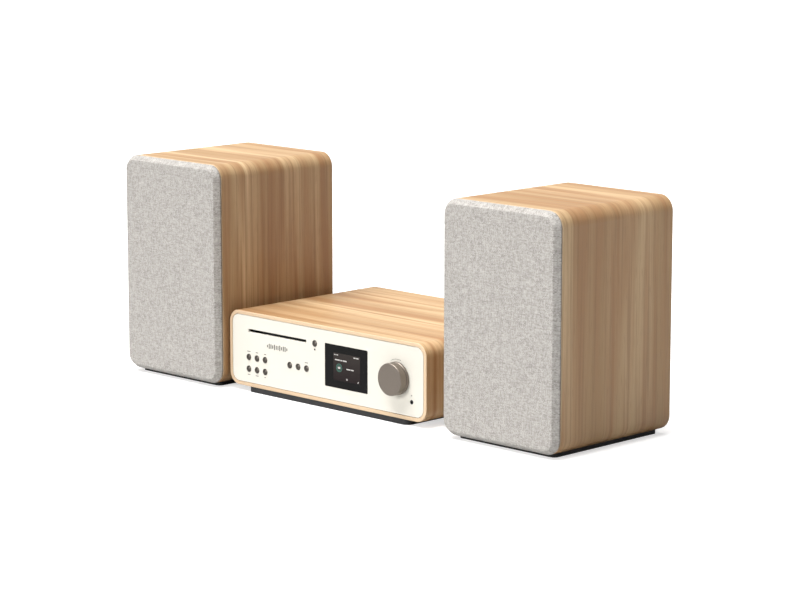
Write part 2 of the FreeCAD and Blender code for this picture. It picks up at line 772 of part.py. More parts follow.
# ---------------------------------------------------------------- loudspeakers
def grille_form(x, inset, y0, y1):
    """The grille's outer form less an even skin: straight sides and a bevelled face."""
    width = speaker_width - 2 * inset
    height = speaker_height - speaker_plinth_height - 2 * inset
    low = speaker_plinth_height + inset
    bevel = grille_bevel_inset
    corner = speaker_corner - inset
    shoulder = front_y + grille_bevel_depth
    back = rounded_bar(x, low, width, height, corner, shoulder, y1)
    face = Part.makeLoft([rounded_wire(x, low, width, height, corner, shoulder),
                          rounded_wire(x, low + bevel, width - 2 * bevel, height - 2 * bevel, corner - bevel, y0)],
                         True, True)
    return fuse([back, face])


def grille_cloth(x):
    """The cloth pulled over the frame's face, bevel and sides."""
    back = front_y + grille_thickness
    outer = grille_form(x, 0, front_y, back)
    inner = grille_form(x, cloth_thickness, front_y + cloth_thickness, back)
    return outer.cut(inner)


def peg_places(x):
    half = speaker_width / 2 - peg_inset - cabinet_wall
    low = speaker_plinth_height + cabinet_wall + peg_inset
    high = speaker_height - cabinet_wall - peg_inset
    return [(x + side * half, z) for side in (-1, 1) for z in (low, high)]


def grille_frame(x):
    """The board under the cloth, cut out in front of the drivers, with four pegs at the back."""
    back = front_y + grille_thickness
    form = grille_form(x, cloth_thickness, front_y + cloth_thickness, back)
    rim = grille_rim
    opening = rounded_bar(x, speaker_plinth_height + rim, speaker_width - 2 * rim,
                          speaker_height - speaker_plinth_height - 2 * rim, speaker_corner, front_y - 1, back + 1)
    ring = form.cut(opening)
    pads = [rod_back(px, pz, 9, front_y + 4, back) for px, pz in peg_places(x)]
    pegs = [rod_back(px, pz, peg_radius, back - 1, back + peg_length) for px, pz in peg_places(x)]
    return fuse([ring] + pads + pegs)


def speaker_inner(x, y0, y1, gap):
    return rounded_bar(x, speaker_plinth_height + cabinet_wall + gap, speaker_width - 2 * cabinet_wall - 2 * gap,
                       speaker_height - speaker_plinth_height - 2 * cabinet_wall - 2 * gap,
                       speaker_corner - cabinet_wall - gap, y0, y1)


def terminal_places(x):
    return [(x - terminal_pitch / 2, terminal_z), (x + terminal_pitch / 2, terminal_z)]


def speaker_cabinet(x):
    """The veneered box, closed at the back, with the holes behind its terminal plate."""
    rear = front_y + speaker_depth
    outer = rounded_bar(x, speaker_plinth_height, speaker_width, speaker_height - speaker_plinth_height,
                        speaker_corner, baffle_y, rear)
    outer = outer.makeFillet(cabinet_edge, rim(outer, baffle_y, True) + rim(outer, rear, True))
    inner = speaker_inner(x, baffle_y - 1, rear - cabinet_wall, 0)
    holes = [rod_back(px, pz, 6.5, rear - cabinet_wall - 1, rear + 1) for px, pz in terminal_places(x)]
    return cut(outer, [inner] + holes)


def speaker_plinth(x):
    """The low black plate that the speaker stands on."""
    return rounded_plate(x, speaker_width - 2 * speaker_plinth_inset, front_y + speaker_plinth_setback,
                         front_y + speaker_depth - speaker_plinth_rear_inset, speaker_plinth_corner,
                         0, speaker_plinth_height)


def driver_screws(x):
    """Four screws round each driver."""
    screws = []
    for z, radius in ((woofer_z, woofer_flange_radius - 6), (tweeter_z, tweeter_flange_radius - 5)):
        for px, pz in around(4, radius, x, z, 45):
            screws.append(pan_screw(px, baffle_y, pz, (0, 1, 0), 15))
    return screws


def baffle(x):
    """The front board that holds the drivers and takes the grille's pegs."""
    y1 = baffle_y + baffle_thickness
    board = speaker_inner(x, baffle_y, y1, 0)
    holes = []
    for z, flange, bore in ((woofer_z, woofer_flange_radius, basket_mouth + basket_wall + 1),
                            (tweeter_z, tweeter_flange_radius, tweeter_body_radius + 1)):
        holes.append(rod_back(x, z, flange + driver_gap, baffle_y - 1, baffle_y + woofer_flange))
        holes.append(rod_back(x, z, bore, baffle_y - 1, y1 + 1))
    for px, pz in peg_places(x):
        holes.append(rod_back(px, pz, peg_radius + body_gap, baffle_y - 1, baffle_y + peg_length + 1))
    return cut(board, holes + driver_screws(x))


def woofer_frame(x):
    """The woofer's flange, basket, magnet and pole, with four windows in the basket."""
    mouth = basket_mouth
    throat = mouth - 24.5
    floor = basket_depth
    gap_end = floor + 13
    rear = floor + magnet_thickness
    profile = [(mouth, 0), (woofer_flange_radius, 0), (woofer_flange_radius, woofer_flange),
               (mouth + basket_wall, woofer_flange), (mouth + basket_wall, 7), (throat + 2.5, floor),
               (magnet_radius, floor), (magnet_radius, rear), (0, rear), (0, floor - 7),
               (pole_radius, floor - 7), (pole_radius, gap_end), (coil_gap, gap_end), (coil_gap, floor),
               (throat, floor), (mouth, 7)]
    whole = turned(x, baffle_y, woofer_z, profile)
    windows = [box(x - 12, x + 12, baffle_y + 19, baffle_y + 41, woofer_z + 26, woofer_z + 60)]
    for turn in (90, 180, 270):
        window = windows[0].copy()
        window.rotate(V(x, baffle_y, woofer_z), V(0, 1, 0), turn)
        windows.append(window)
    return cut(whole, windows + driver_screws(x))


def woofer_cone(x):
    """The paper cone, its dust cap and the voice coil on its former."""
    neck = pole_radius + 0.6
    edge = 1.2
    cone = turned(x, baffle_y, woofer_z, [(cone_radius, edge), (cone_radius, edge + cone_thickness),
                                          (neck + 0.6, cone_depth + cone_thickness), (neck, cone_depth + cone_thickness),
                                          (neck, cone_depth)])
    former = turned(x, baffle_y, woofer_z, [(neck, cone_depth), (neck + 0.6, cone_depth),
                                            (neck + 0.6, basket_depth + 7), (neck, basket_depth + 7)])
    base = edge + (cone_radius - dust_cap_radius) * (cone_depth - edge) / (cone_radius - neck)
    rise = 8.0
    mid = dust_cap_radius / 2
    sphere = (dust_cap_radius ** 2 + rise ** 2) / (2 * rise)
    mid_depth = base - rise + sphere - math.sqrt(sphere ** 2 - mid ** 2)
    cap = turned(x, baffle_y, woofer_z, [(0, base - rise), (dust_cap_radius, base, mid, mid_depth),
                                         (dust_cap_radius, base + 0.9), (0, base - rise + 0.9, mid, mid_depth + 0.9)])
    return fuse([cone, former, cap])


def woofer_surround(x):
    """The half-round rubber roll between the cone and the flange."""
    inner = cone_radius - 1.6
    start = cone_radius + 0.6
    end = start + 2 * surround_roll
    middle = start + surround_roll
    skin = surround_thickness
    return turned(x, baffle_y, woofer_z, [
        (inner, 0.3), (start, 0.3), (start, 0), (end, 0, middle, -surround_roll), (end + 3, 0), (end + 3, -skin),
        (end + skin * 0.9, -skin), (start - skin, -0.5, middle, -surround_roll - skin), (inner, -0.5)])


def tweeter(x):
    """The tweeter: flange with a shallow horn, a soft dome and its magnet."""
    flange = tweeter_flange_radius
    dome = tweeter_dome_radius
    half = dome / 2
    sphere = (dome ** 2 + 16) / 8
    half_depth = -1.0 + sphere - math.sqrt(sphere ** 2 - half ** 2)
    return turned(x, baffle_y, tweeter_z, [
        (0, -1.0), (dome, 3.0, half, half_depth), (dome + 3, 3.0), (dome + 16, 0, dome + 8, 0.8), (flange, 0),
        (flange, woofer_flange), (tweeter_body_radius, woofer_flange), (tweeter_body_radius, 30), (0, 30)
    ]).cut(Part.makeCompound(driver_screws(x)))


def crossover(x):
    """The filter board on the cabinet's floor, with its coil and capacitors."""
    floor = speaker_plinth_height + cabinet_wall
    y0 = front_y + speaker_depth - cabinet_wall - 90
    board = box(x - 45, x + 45, y0, y0 + 60, floor + 6, floor + 7.6)
    feet = [rod(x + sx * 39, y0 + sy, floor, (0, 0, 1), 3, 6.5) for sx in (-1, 1) for sy in (6, 54)]
    coil = rod(x - 22, y0 + 30, floor + 7, (0, 0, 1), 17, 19).cut(rod(x - 22, y0 + 30, floor + 8, (0, 0, 1), 6, 20))
    cans = [box(x + 6, x + 38, y0 + 8 + 18 * n, y0 + 20 + 18 * n, floor + 7, floor + 21) for n in range(3)]
    return fuse([board, coil] + feet + cans)


def speaker_terminals(x):
    """The plate on the back with its two 4 mm sockets."""
    rear = front_y + speaker_depth
    plate = box(x - terminal_plate_width / 2, x + terminal_plate_width / 2, rear, rear + terminal_plate,
                terminal_z - terminal_plate_height / 2, terminal_z + terminal_plate_height / 2)
    face = rear + terminal_plate
    barrels = [rod_back(px, pz, output_socket_radius, rear - cabinet_wall - 4, face + output_socket_length)
               for px, pz in terminal_places(x)]
    bores = [rod_back(px, pz, output_socket_bore, rear - 8, face + output_socket_length + 1)
             for px, pz in terminal_places(x)]
    return cut(fuse([plate] + barrels), bores)


# ---------------------------------------------------------------- the whole set
def all_pieces():
    """Every piece by name, as one solid or a list of alike solids."""
    pieces = {
        "unit_cabinet": unit_cabinet(), "unit_plinth": unit_plinth(), "base_tray": base_tray(),
        "front_panel": front_panel(), "rear_panel": rear_panel(), "display_window": display_window(),
        "display_module": display_module(), "status_lens": status_lens(),
        "headphone_socket": headphone_socket(), "front_board": front_board(),
        "encoder_body": encoder_body(), "encoder_shaft": encoder_shaft(), "volume_knob": volume_knob(),
        "deck_frame": deck_frame(), "deck_motors": deck_motors(), "disc_hub": disc_hub(),
        "laser_sled": laser_sled(), "lead_screw": lead_screw(), "loading_roller": loading_roller(),
        "main_board": main_board(), "heatsink": heatsink(), "power_board": power_board(),
        "mains_inlet": mains_inlet(), "rear_sockets": rear_sockets(), "speaker_outputs": speaker_outputs(),
        "unit_screws": unit_screws(),
    }
    for name, (x, z) in button_places().items():
        pieces[name] = push_button(x, z)
    for side, x in (("left", left_x), ("right", right_x)):
        pieces[side + "_cabinet"] = speaker_cabinet(x)
        pieces[side + "_plinth"] = speaker_plinth(x)
        pieces[side + "_baffle"] = baffle(x)
        pieces[side + "_grille_frame"] = grille_frame(x)
        pieces[side + "_grille_cloth"] = grille_cloth(x)
        pieces[side + "_woofer_frame"] = woofer_frame(x)
        pieces[side + "_woofer_cone"] = woofer_cone(x)
        pieces[side + "_woofer_surround"] = woofer_surround(x)
        pieces[side + "_tweeter"] = tweeter(x)
        pieces[side + "_crossover"] = crossover(x)
        pieces[side + "_terminals"] = speaker_terminals(x)
        pieces[side + "_screws"] = driver_screws(x)
    return pieces


def write(pieces):
    os.makedirs("parts", exist_ok=True)
    for name, shape in pieces.items():
        solids = shape if isinstance(shape, list) else [shape]
        found = [s for piece in solids for s in piece.Solids]
        if len(found) != len(solids):
            raise ValueError(name + " is " + str(len(found)) + " solids, not " + str(len(solids)))
        whole = found[0] if len(found) == 1 else Part.makeCompound(found)
        whole.exportStep(os.path.join("parts", name + ".step"))
        print(name, len(found), round(sum(s.Volume for s in found)), whole.isValid())


write(all_pieces())
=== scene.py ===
# %% [markdown]
# # A small hi-fi, dressed for the eye
# The working model of this set comes ready made: a wooden-cased player, its buttons and knob,
# and two loudspeakers. This lesson loads it and gives every piece its finish. Where a piece is
# soft or very fine, such as the grille cloth and the marks printed on the panel, it is made here.

# %% Load the working model
import json
import math

import bmesh
import bpy
from mathutils import Matrix, Vector


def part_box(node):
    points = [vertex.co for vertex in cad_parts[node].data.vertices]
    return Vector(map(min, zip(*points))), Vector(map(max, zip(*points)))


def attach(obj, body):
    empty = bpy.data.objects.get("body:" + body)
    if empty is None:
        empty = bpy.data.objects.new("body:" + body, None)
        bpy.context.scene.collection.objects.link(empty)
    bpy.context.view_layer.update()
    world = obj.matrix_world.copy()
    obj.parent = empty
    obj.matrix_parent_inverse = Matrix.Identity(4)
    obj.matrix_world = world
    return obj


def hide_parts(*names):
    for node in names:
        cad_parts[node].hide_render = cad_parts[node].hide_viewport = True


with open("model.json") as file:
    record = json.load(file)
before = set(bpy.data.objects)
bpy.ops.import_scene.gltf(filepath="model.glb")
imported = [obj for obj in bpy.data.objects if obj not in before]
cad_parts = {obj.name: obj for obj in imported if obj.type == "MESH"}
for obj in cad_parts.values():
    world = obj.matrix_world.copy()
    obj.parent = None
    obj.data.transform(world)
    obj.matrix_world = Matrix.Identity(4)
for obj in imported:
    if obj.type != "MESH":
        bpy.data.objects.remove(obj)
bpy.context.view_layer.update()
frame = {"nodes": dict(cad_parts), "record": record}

MM = 0.001
NODES = frame["nodes"]
print("pieces in the model:", len(NODES))

# %% [markdown]
# ## The camera
# A product picture is taken from far away with a long lens, so that upright edges stay upright.
# The camera stands to the right of the set and a little above it, and looks back to the left.

# %% The camera
VIEW_TURN = 44.811
VIEW_RISE = 10.02
CAMERA_PLACE = Vector((2968.2, -2993.2, 892.7)) * MM
LENS_MM = 128.05

camera_data = bpy.data.cameras.new("camera")
camera_data.lens = LENS_MM
camera_data.sensor_width = 36.0
camera_data.clip_end = 50.0
camera = bpy.data.objects.new("camera", camera_data)
camera.location = CAMERA_PLACE
camera.rotation_euler = (math.radians(90 - VIEW_RISE), 0, math.radians(VIEW_TURN))
bpy.context.scene.collection.objects.link(camera)
bpy.context.scene.camera = camera
bpy.context.scene.view_settings.view_transform = "Standard"
print("camera is", round(CAMERA_PLACE.length, 2), "m from the middle of the set")

# %% [markdown]
# ## Small helpers for materials
# Every finish below is a handful of shader nodes. One function adds a node with its settings and
# its links, and one turns the hex colours that a paint chart gives into the linear colours that
# a renderer works in.

# %% Helpers for materials
def colour(code):
    """An sRGB hex colour as the linear colour that shaders use."""
    parts = [int(code[i:i + 2], 16) / 255 for i in (1, 3, 5)]
    linear = [c / 12.92 if c <= 0.04045 else ((c + 0.055) / 1.055) ** 2.4 for c in parts]
    return (*linear, 1.0)


def add_node(material, kind, inputs=None, **settings):
    """Adds one node; inputs gives each socket a number, a colour or another node's output."""
    tree = material.node_tree
    made = tree.nodes.new(kind)
    for name, value in settings.items():
        setattr(made, name, value)
    for name, value in (inputs or {}).items():
        if isinstance(value, bpy.types.NodeSocket):
            tree.links.new(value, made.inputs[name])
        else:
            made.inputs[name].default_value = value
    return made


def start_material(name, base, roughness, **sockets):
    """A new material with one shader; returns the material, its shader and its coordinates."""
    material = bpy.data.materials.new(name)
    material.use_nodes = True
    shader = material.node_tree.nodes["Principled BSDF"]
    shader.inputs["Base Color"].default_value = colour(base)
    shader.inputs["Roughness"].default_value = roughness
    for socket, value in sockets.items():
        shader.inputs[socket.replace("_", " ")].default_value = value
    place = add_node(material, "ShaderNodeTexCoord").outputs["Object"]
    return material, shader, place


def connect(material, output, shader, socket):
    material.node_tree.links.new(output, shader.inputs[socket])


def noise(material, place, size, detail=2.0, distortion=0.0, shift=(0, 0, 0)):
    """Soft noise whose blobs are about size metres along X, Y and Z."""
    scaled = add_node(material, "ShaderNodeMapping", {"Vector": place, "Location": shift,
                      "Scale": tuple(1 / s for s in size)})
    return add_node(material, "ShaderNodeTexNoise", {"Vector": scaled.outputs[0], "Scale": 1.0,
                    "Detail": detail, "Distortion": distortion}).outputs["Fac"]


def spread(material, value, low, high, to_low, to_high):
    """Maps one range of numbers onto another."""
    return add_node(material, "ShaderNodeMapRange", {"Value": value, "From Min": low, "From Max": high,
                    "To Min": to_low, "To Max": to_high}).outputs[0]


def mix(material, share, first, second):
    """Mixes two colours; each is a hex code or a node's output."""
    pair = [colour(c) if isinstance(c, str) else c for c in (first, second)]
    return add_node(material, "ShaderNodeMix", {0: share, 6: pair[0], 7: pair[1]},
                    data_type="RGBA").outputs[2]


def bump(material, shader, height, strength, distance):
    relief = add_node(material, "ShaderNodeBump",
                      {"Height": height, "Strength": strength, "Distance": distance})
    connect(material, relief.outputs[0], shader, "Normal")


def dress(material, *names):
    """Gives CAD pieces their material; their shapes stay as they are."""
    for name in names:
        mesh = NODES[name].data
        if not mesh.materials:
            mesh.materials.append(material)
        for index in range(len(mesh.materials)):
            mesh.materials[index] = material


# %% [markdown]
# ## Small helpers for shapes
# New pieces start as a bmesh. Most of the fine parts here are one of two things: a flat mark with
# round ends, or a ring turned about a line. The finished mesh becomes an object that sits at the
# origin and rides on a body of the working model.

# %% Helpers for shapes
MARK_THICK = 0.06 * MM
MARK_ROUND = 0.42


def finish_piece(name, bm, body, material, smooth_angle=None):
    """Turns a bmesh into an object on a body."""
    bmesh.ops.remove_doubles(bm, verts=bm.verts[:], dist=1e-6)
    bmesh.ops.recalc_face_normals(bm, faces=bm.faces[:])
    mesh = bpy.data.meshes.new(name)
    bm.to_mesh(mesh)
    bm.free()
    mesh.materials.append(material)
    if smooth_angle is not None:
        mesh.shade_smooth()
        mesh.set_sharp_from_angle(angle=math.radians(smooth_angle))
    piece = bpy.data.objects.new(name, mesh)
    bpy.context.scene.collection.objects.link(piece)
    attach(piece, body)
    return piece


def bevel(bm, edges, width, segments):
    bmesh.ops.bevel(bm, geom=edges, offset=width, offset_type="OFFSET", segments=segments,
                    profile=0.5, affect="EDGES", material=-1)


def add_block(bm, low, high):
    """Adds a box between two corners and returns its vertices."""
    low, high = Vector(low), Vector(high)
    made = bmesh.ops.create_cube(bm, size=1.0)["verts"]
    bmesh.ops.scale(bm, vec=high - low, verts=made)
    bmesh.ops.translate(bm, vec=(low + high) / 2, verts=made)
    return made


def edges_along(verts, axis):
    """The edges between these vertices that run along one axis."""
    inside = set(verts)
    found = {e for v in verts for e in v.link_edges if e.verts[0] in inside and e.verts[1] in inside}
    ordered = sorted(found, key=lambda e: e.index)
    return [e for e in ordered if abs((e.verts[0].co - e.verts[1].co).normalized()[axis]) > 0.99]


def add_mark(bm, x, z, width, height, y, turn=0.0):
    """Adds a flat printed mark with round ends, standing just proud of depth y."""
    made = add_block(bm, (x - width / 2, y - MARK_THICK, z - height / 2),
                     (x + width / 2, y, z + height / 2))
    if turn:
        bmesh.ops.rotate(bm, cent=(x, y, z), matrix=Matrix.Rotation(turn, 3, "Y"), verts=made)
    bm.edges.index_update()
    bevel(bm, edges_along(made, 1), min(width, height) * MARK_ROUND, 3)


def add_turned(bm, centre, profile, steps=48):
    """Adds a closed profile of (radius, depth) turned about a line along the depth."""
    centre = Vector(centre)
    made = [bm.verts.new(centre + Vector((radius, depth, 0))) for radius, depth in profile]
    ring = [bm.edges.new((made[i], made[(i + 1) % len(made)])) for i in range(len(made))]
    bmesh.ops.spin(bm, geom=made + ring, cent=centre, axis=(0, 1, 0), angle=math.tau,
                   steps=steps, use_merge=True)


# %% [markdown]
# ## Floor and light
# The set stands on a plain pale floor. The floor looks brighter than it lights the set, so
# shadows on it stay faint, while the wood still darkens towards it. Two broad lamps light the
# set. One is high and a little to the left, and lights the tops. The other is low and almost
# straight ahead, and lights the fronts, while the right-hand sides see only the floor and stay
# in shade. Both are sun lamps, because both speakers have to be lit alike. The sky is faint,
# brighter where something shiny mirrors it, and white where it is seen.

# %% Floor and light
FLOOR_SIDE = 24.0
FLOOR_GLOW = 0.62
bm = bmesh.new()
bmesh.ops.create_grid(bm, x_segments=1, y_segments=1, size=FLOOR_SIDE / 2)
floor_mesh = bpy.data.meshes.new("floor")
bm.to_mesh(floor_mesh)
bm.free()
floor = bpy.data.objects.new("floor", floor_mesh)
bpy.context.scene.collection.objects.link(floor)
floor_paint, floor_shader, _ = start_material("pale_floor", "#c2c2c2", 0.95, Specular_IOR_Level=0.0)
floor_shader.inputs["Emission Color"].default_value = (1, 1, 1, 1)
floor_seen = add_node(floor_paint, "ShaderNodeLightPath").outputs["Is Camera Ray"]
floor_glow = spread(floor_paint, floor_seen, 0, 1, 0, FLOOR_GLOW)
connect(floor_paint, floor_glow, floor_shader, "Emission Strength")
floor_mesh.materials.append(floor_paint)


def add_sun(name, toward, strength, softness):
    """A sun lamp that shines from the direction given, with a disc softness degrees wide."""
    data = bpy.data.lights.new(name, "SUN")
    data.energy = strength
    data.angle = math.radians(softness)
    lamp = bpy.data.objects.new(name, data)
    lamp.rotation_euler = Vector(toward).to_track_quat("Z", "Y").to_euler()
    bpy.context.scene.collection.objects.link(lamp)


add_sun("top_lamp", (-0.14, -0.22, 0.96), 5.7, 46)
add_sun("front_lamp", (-0.07, -0.95, 0.31), 1.75, 20)

SKY_LIGHT = 0.10
SKY_SHINE = 0.40
world = bpy.data.worlds.new("studio")
world.use_nodes = True
sky = world.node_tree
rays = sky.nodes.new("ShaderNodeLightPath")
level = SKY_LIGHT
for ray, extra in (("Is Glossy Ray", SKY_SHINE), ("Is Camera Ray", 1.0 - SKY_LIGHT)):
    adder = sky.nodes.new("ShaderNodeMath")
    adder.operation = "MULTIPLY_ADD"
    sky.links.new(rays.outputs[ray], adder.inputs[0])
    adder.inputs[1].default_value = extra
    if isinstance(level, float):
        adder.inputs[2].default_value = level
    else:
        sky.links.new(level, adder.inputs[2])
    level = adder.outputs[0]
sky.links.new(level, sky.nodes["Background"].inputs["Strength"])
sky.nodes["Background"].inputs["Color"].default_value = (1, 1, 1, 1)
bpy.context.scene.world = world
print("floor glow", FLOOR_GLOW, "and sky", SKY_LIGHT)

# %% [markdown]
# ## Oak veneer
# The cases are fibreboard wrapped in one long sheet of pale oak veneer. The sheet runs up one
# side, over the rounded corner, across the top and down the other side, and its grain runs
# with it. So the pattern needs a coordinate that follows the wrap: the distance from the
# middle line across the top, plus the distance down the side. Streaks are long along that
# coordinate and narrow along the case's depth. The back is a panel of its own, so there the
# grain simply runs upright.

# %% Oak veneer
VENEER_PLANK = 62.0 * MM
VENEER_BAND = 19.0 * MM
VENEER_LINE = 4.2 * MM
VENEER_EDGE = 1.2 * MM
VENEER_PORE = 1.5 * MM


def oak_veneer(case, seed):
    """Satin-lacquered oak veneer wrapped round one case: long warm streaks, a soft gloss."""
    low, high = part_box(case)
    middle = (low.x + high.x) / 2
    material, shader, place = start_material("oak_veneer_" + case, "#c4a788", 0.45, Specular_IOR_Level=0.5)
    split = add_node(material, "ShaderNodeSeparateXYZ", {0: place})
    across = add_node(material, "ShaderNodeMath", {0: split.outputs["X"], 1: middle}, operation="SUBTRACT")
    side = add_node(material, "ShaderNodeMath", {0: across.outputs[0]}, operation="SIGN")
    down = add_node(material, "ShaderNodeMath", {0: high.z, 1: split.outputs["Z"]}, operation="SUBTRACT")
    fold = add_node(material, "ShaderNodeMath", operation="MULTIPLY_ADD",
                    inputs={0: side.outputs[0], 1: down.outputs[0], 2: across.outputs[0]})
    round_case = add_node(material, "ShaderNodeCombineXYZ",
                          {"X": fold.outputs[0], "Y": split.outputs["Y"]}).outputs[0]
    up_back = add_node(material, "ShaderNodeCombineXYZ",
                       {"X": split.outputs["Z"], "Y": split.outputs["X"]}).outputs[0]
    at_back = spread(material, split.outputs["Y"], high.y - VENEER_EDGE / 2, high.y - VENEER_EDGE / 4, 0, 1)
    wrap = add_node(material, "ShaderNodeMix", {0: at_back, 4: round_case, 5: up_back},
                    data_type="VECTOR").outputs[1]
    planks = noise(material, wrap, (2.2, VENEER_PLANK, 1), 1.0, 0.0, (seed, 0, 0))
    bands = noise(material, wrap, (0.55, VENEER_BAND, 1), 2.0, 0.5, (seed, 5, 0))
    lines = noise(material, wrap, (0.30, VENEER_LINE, 1), 1.0, 0.25, (seed, 9, 0))
    pores = noise(material, wrap, (0.030, VENEER_PORE, 1), 1.0, 0.0, (seed, 2, 0))
    warm = mix(material, spread(material, planks, 0.30, 0.70, 0, 1), "#aa8860", "#d6b88f")
    banded = mix(material, spread(material, bands, 0.36, 0.60, 1.0, 0.0), warm, "#a67e57")
    lined = mix(material, spread(material, lines, 0.30, 0.50, 0.50, 0.0), banded, "#8f6b46")
    pored = mix(material, spread(material, pores, 0.60, 0.75, 0.0, 0.35), lined, "#82603d")
    # Within VENEER_EDGE of the front the wrap is mixed towards a pale cream: partly a paler edge band,
    # partly a painted highlight on the front rim.
    front = spread(material, split.outputs["Y"], low.y + VENEER_EDGE / 4, low.y + VENEER_EDGE, 0.65, 0.0)
    pale_edge_and_highlight = mix(material, front, pored, "#d9c2a4")
    connect(material, pale_edge_and_highlight, shader, "Base Color")
    connect(material, spread(material, lines, 0.3, 0.7, 0.40, 0.52), shader, "Roughness")
    bump(material, shader, pores, 0.10, 0.0003)
    dress(material, case)


for seed, case in enumerate(("unit_cabinet", "left_cabinet", "right_cabinet")):
    oak_veneer(case, 3.7 * seed)
print("veneer laid on three cases")

# %% [markdown]
# ## Grille cloth
# Each grille is a board with a bevelled face, covered with a pale woven cloth that is pulled
# tight and glued behind. The cover starts as a box: its four long edges are rounded, its front is
# inset and pushed forward for the bevel, and the edges are softened, because cloth never folds
# over a board to a knife edge. The back is left open and the skin gets its thickness inwards.
# The weave is two sets of threads, one over the other by turns, in mottled greys.

# %% Grille cloth
CLOTH_THICK = 0.5 * MM
GRILLE_CORNER = 22.6 * MM
BEVEL_INSET = 6.67 * MM
BEVEL_DEPTH = 8.6 * MM
CLOTH_ROUND = 0.9 * MM
THREAD = 1.9 * MM
SLUB = 7.5 * MM
FLECK = 2.0 * MM
THROUGH = 60 * MM


def woven_cloth():
    """Flat-woven polyester with flecked yarn, matt and soft; threads are drawn a little coarse."""
    material, shader, place = start_material("woven_polyester", "#aba7a2", 0.92, Specular_IOR_Level=0.1)
    shader.inputs["Sheen Weight"].default_value = 0.08
    shader.inputs["Sheen Roughness"].default_value = 0.5
    split = add_node(material, "ShaderNodeSeparateXYZ", {0: place})
    upright = noise(material, place, (THREAD, THROUGH, SLUB), 1.0)
    level = noise(material, place, (SLUB, THROUGH, THREAD), 1.0, 0.0, (5, 0, 0))
    fleck = noise(material, place, (FLECK, THROUGH, FLECK), 1.0, 0.0, (0, 0, 7))
    waves = []
    for along in ("X", "Z"):
        turns = add_node(material, "ShaderNodeMath", {0: split.outputs[along], 1: math.pi / THREAD},
                         operation="MULTIPLY").outputs[0]
        waves.append(add_node(material, "ShaderNodeMath", {0: turns}, operation="SINE").outputs[0])
    over = add_node(material, "ShaderNodeMath", {0: waves[0], 1: waves[1]}, operation="MULTIPLY").outputs[0]
    which = spread(material, over, -0.3, 0.3, 0, 1)
    threads = add_node(material, "ShaderNodeMix", {0: which, 2: upright, 3: level},
                       data_type="FLOAT").outputs[0]
    tone = add_node(material, "ShaderNodeMath", {0: fleck, 1: 0.5, 2: threads},
                    operation="MULTIPLY_ADD").outputs[0]
    greys = mix(material, spread(material, tone, 0.52, 0.98, 0, 1), "#8e8a85", "#b7b3ae")
    connect(material, greys, shader, "Base Color")
    bump(material, shader, tone, 0.35, 0.0006)
    return material


def grille_cover(side, material):
    """The cloth over one grille."""
    low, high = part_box(side + "_grille_cloth")
    bm = bmesh.new()
    made = add_block(bm, (low.x, low.y + BEVEL_DEPTH, low.z), high)
    bm.edges.index_update()
    bevel(bm, edges_along(made, 1), GRILLE_CORNER, 12)
    front = min(bm.faces, key=lambda f: f.calc_center_median().y)
    back = max(bm.faces, key=lambda f: f.calc_center_median().y)
    bmesh.ops.delete(bm, geom=[back], context="FACES_ONLY")
    bmesh.ops.inset_region(bm, faces=[front], thickness=BEVEL_INSET, use_even_offset=True)
    bmesh.ops.translate(bm, vec=(0, -BEVEL_DEPTH, 0), verts=list(front.verts))
    shoulder = [e for e in bm.edges if len(e.link_faces) == 2
                and e.link_faces[0].normal.angle(e.link_faces[1].normal) > math.radians(25)]
    bevel(bm, shoulder, CLOTH_ROUND, 2)
    cover = finish_piece(side + "_grille_cover", bm, side + "_grille", material, 12)
    thicken = cover.modifiers.new("cloth_thickness", "SOLIDIFY")
    thicken.thickness = CLOTH_THICK
    thicken.offset = -1
    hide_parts(side + "_grille_cloth")


cloth = woven_cloth()
for side in ("left", "right"):
    grille_cover(side, cloth)

# %% [markdown]
# ## Player front: moulded panel, glass, buttons and knob
# The panel is moulded ABS in warm cream with a very fine spark texture, which scatters the light
# so that the panel looks almost matt. The pane is black polished acrylic. The buttons are capped
# in smoked chrome, and the knob is turned from aluminium and anodised a warm grey.

# %% Player front
def spark_plastic(name, base, roughness, grit=0.5 * MM, relief=0.08):
    """Injection-moulded ABS with a fine spark-eroded texture: even colour, broken highlight."""
    material, shader, place = start_material(name, base, roughness)
    grain = noise(material, place, (grit, grit, grit), 2.0)
    cloud = noise(material, place, (40 * MM, 40 * MM, 40 * MM), 2.0)
    uneven = spread(material, cloud, 0.3, 0.7, roughness - 0.04, roughness + 0.04)
    connect(material, uneven, shader, "Roughness")
    bump(material, shader, grain, relief, 0.0002)
    return material


def plain_metal(name, base, roughness, streak=(1.2 * MM, 1.2 * MM, 1.2 * MM), relief=0.05):
    """A metal surface with fine tool marks that break up its reflections."""
    material, shader, place = start_material(name, base, roughness, Metallic=1.0)
    marks = noise(material, place, streak, 2.0)
    worn = spread(material, marks, 0.3, 0.7, roughness * 0.85, roughness * 1.2)
    connect(material, worn, shader, "Roughness")
    bump(material, shader, marks, relief, 0.0001)
    return material


cream = spark_plastic("moulded_cream_abs", "#d7d3c8", 0.55)
dress(cream, "front_panel")

pane, pane_shader, pane_place = start_material("black_acrylic", "#050404", 0.08, Specular_IOR_Level=0.15)
smear = noise(pane, pane_place, (30 * MM, 30 * MM, 30 * MM), 2.0)
connect(pane, spread(pane, smear, 0.3, 0.7, 0.06, 0.11), pane_shader, "Roughness")
dress(pane, "display_window")

smoked_chrome = plain_metal("smoked_chrome", "#57524d", 0.34, relief=0.02)
BUTTONS = [name for name in NODES if name.endswith("_button")]
dress(smoked_chrome, *BUTTONS)


